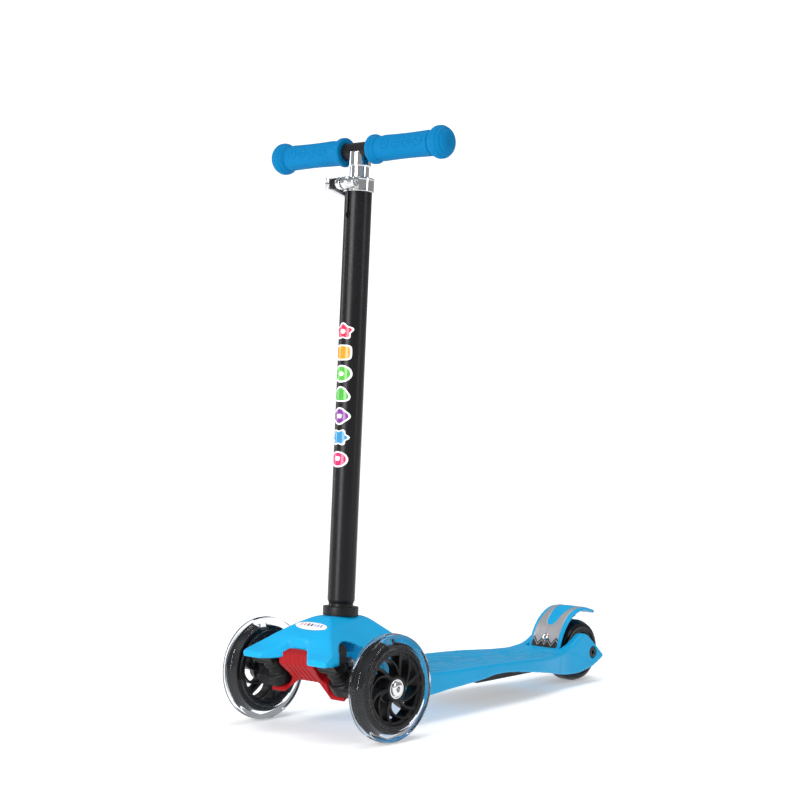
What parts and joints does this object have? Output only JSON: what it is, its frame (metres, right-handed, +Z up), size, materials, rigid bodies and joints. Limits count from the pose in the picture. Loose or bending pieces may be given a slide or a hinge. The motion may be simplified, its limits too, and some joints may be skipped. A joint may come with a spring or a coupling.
{
  "type": "kick scooter",
  "caption": "Child's lean-to-steer kick scooter: clear front wheels, small rear wheel under a spring brake fender, footboard, and a height-adjustable T-bar with a quick clamp.",
  "frame": {"origin": "on the ground, in the middle of the scooter's length and width", "axes": "+X to the rider's left, +Y to the rear, +Z up; the scooter faces -Y"},
  "size_m": [0.276, 0.5636, 0.679],
  "materials": {
    "blue_plastic": "satin moulded polypropylene, sky blue",
    "black_plastic": "satin moulded nylon, black",
    "red_plastic": "satin moulded nylon, red",
    "badge_print": "glossy printed badge, white with coloured bands",
    "zinc_steel": "zinc plated",
    "spring_steel": "oiled spring wire",
    "black_paint": "satin black powder coat",
    "sticker_print": "glossy printed stickers in seven colours with white edges",
    "chrome": "bright chrome",
    "dark_steel": "blackened steel",
    "cast_lever": "polished casting",
    "blue_rubber": "soft moulded rubber, sky blue",
    "bush_plastic": "natural acetal",
    "clear_tyre": "clear cast polyurethane",
    "black_tyre": "black polyurethane, slightly glossy",
    "silver_sheet": "satin silver sheet with a dark printed foot",
    "brake_rubber": "hard black rubber"
  },
  "bodies": {
    "root": {"deck": "blue_plastic", "under_tray": "black_plastic", "tray_screws": "zinc_steel", "nose_badge": "badge_print", "steering_housing": "red_plastic", "housing_screws": "zinc_steel", "kingpin_blocks": "black_plastic", "kingpin_left": "zinc_steel", "kingpin_right": "zinc_steel", "kingpin_nuts": "zinc_steel", "stem_collar": "black_plastic", "outer_tube": "black_paint", "tube_stickers": "sticker_print", "post_bush": "black_plastic", "clamp_collar": "chrome", "clamp_bolt": "chrome", "clamp_nut": "black_plastic", "rear_axle": "dark_steel", "rear_axle_nut": "dark_steel", "rear_side_spacers": "zinc_steel", "brake_pin": "zinc_steel", "brake_spring": "spring_steel", "centring_spring_left": "spring_steel", "centring_spring_right": "spring_steel"},
    "handlebar": {"inner_tube": "chrome", "tube_foot": "black_plastic", "bar_saddle": "chrome", "crossbar": "black_paint", "grip_left": "blue_rubber", "grip_right": "blue_rubber"},
    "clamp_lever": {"clamp_lever": "cast_lever", "lever_pin": "chrome"},
    "axle_holder_left": {"knuckle_left": "black_plastic", "swivel_bush_left": "bush_plastic", "tie_pin_left": "zinc_steel", "front_axle_left": "chrome", "axle_nut_left": "zinc_steel", "axle_washer_left": "zinc_steel"},
    "axle_holder_right": {"knuckle_right": "black_plastic", "swivel_bush_right": "bush_plastic", "tie_pin_right": "zinc_steel", "front_axle_right": "chrome", "axle_nut_right": "zinc_steel", "axle_washer_right": "zinc_steel"},
    "tie_plate": {"tie_plate": "zinc_steel"},
    "front_wheel_left": {"front_tyre_left": "clear_tyre", "front_core_left": "black_plastic", "front_bearings_left": "chrome", "front_sleeve_left": "zinc_steel"},
    "front_wheel_right": {"front_tyre_right": "clear_tyre", "front_core_right": "black_plastic", "front_bearings_right": "chrome", "front_sleeve_right": "zinc_steel"},
    "rear_wheel": {"rear_tyre": "black_tyre", "rear_core": "black_plastic", "rear_bearings": "chrome"},
    "brake": {"brake_fender": "blue_plastic", "brake_inlay": "silver_sheet", "brake_rivet": "chrome", "brake_pad": "brake_rubber"}
  },
  "joints": [
    {"name": "bar_slide", "type": "slide", "parent": "root", "child": "handlebar", "axis": [0, 0.0619, 0.9981], "range_m": [0, 0.2]},
    {"name": "clamp_lever_swing", "type": "hinge", "parent": "root", "child": "clamp_lever", "pos_m": [-0.024, -0.18424, 0.62162], "axis": [0, 0.0619, 0.9981], "range_deg": [0, 150]},
    {"name": "steer_left", "type": "hinge", "parent": "root", "child": "axle_holder_left", "pos_m": [0.0503, -0.2316, 0.0557], "axis": [0, -0.5736, 0.8192], "range_deg": [-14, 14], "stiffness_Nm_per_rad": 12, "deforming": ["centring_spring_left", "centring_spring_right"]},
    {"name": "steer_right", "type": "hinge", "parent": "root", "child": "axle_holder_right", "pos_m": [-0.0503, -0.2316, 0.0557], "axis": [0, -0.5736, 0.8192], "range_deg": [-14, 14]},
    {"name": "tie_swing", "type": "hinge", "parent": "axle_holder_left", "child": "tie_plate", "pos_m": [0.0503, -0.22669, 0.08356], "axis": [0, -0.5736, 0.8192], "range_deg": [-14, 14]},
    {"name": "front_left_spin", "type": "hinge", "parent": "axle_holder_left", "child": "front_wheel_left", "pos_m": [0.101, -0.2152, 0.06], "axis": [1, 0, 0], "continuous": true},
    {"name": "front_right_spin", "type": "hinge", "parent": "axle_holder_right", "child": "front_wheel_right", "pos_m": [-0.101, -0.2152, 0.06], "axis": [1, 0, 0], "continuous": true},
    {"name": "rear_spin", "type": "hinge", "parent": "root", "child": "rear_wheel", "pos_m": [0, 0.2418, 0.04], "axis": [1, 0, 0], "continuous": true},
    {"name": "brake_press", "type": "hinge", "parent": "root", "child": "brake", "pos_m": [0, 0.1768, 0.036], "axis": [1, 0, 0], "range_deg": [-5, 0], "stiffness_Nm_per_rad": 4, "springref_deg": 1.72}
  ],
  "couplings": [
    {"joint": "steer_right", "follows": "steer_left", "ratio": 1},
    {"joint": "tie_swing", "follows": "steer_left", "ratio": -1}
  ]
}
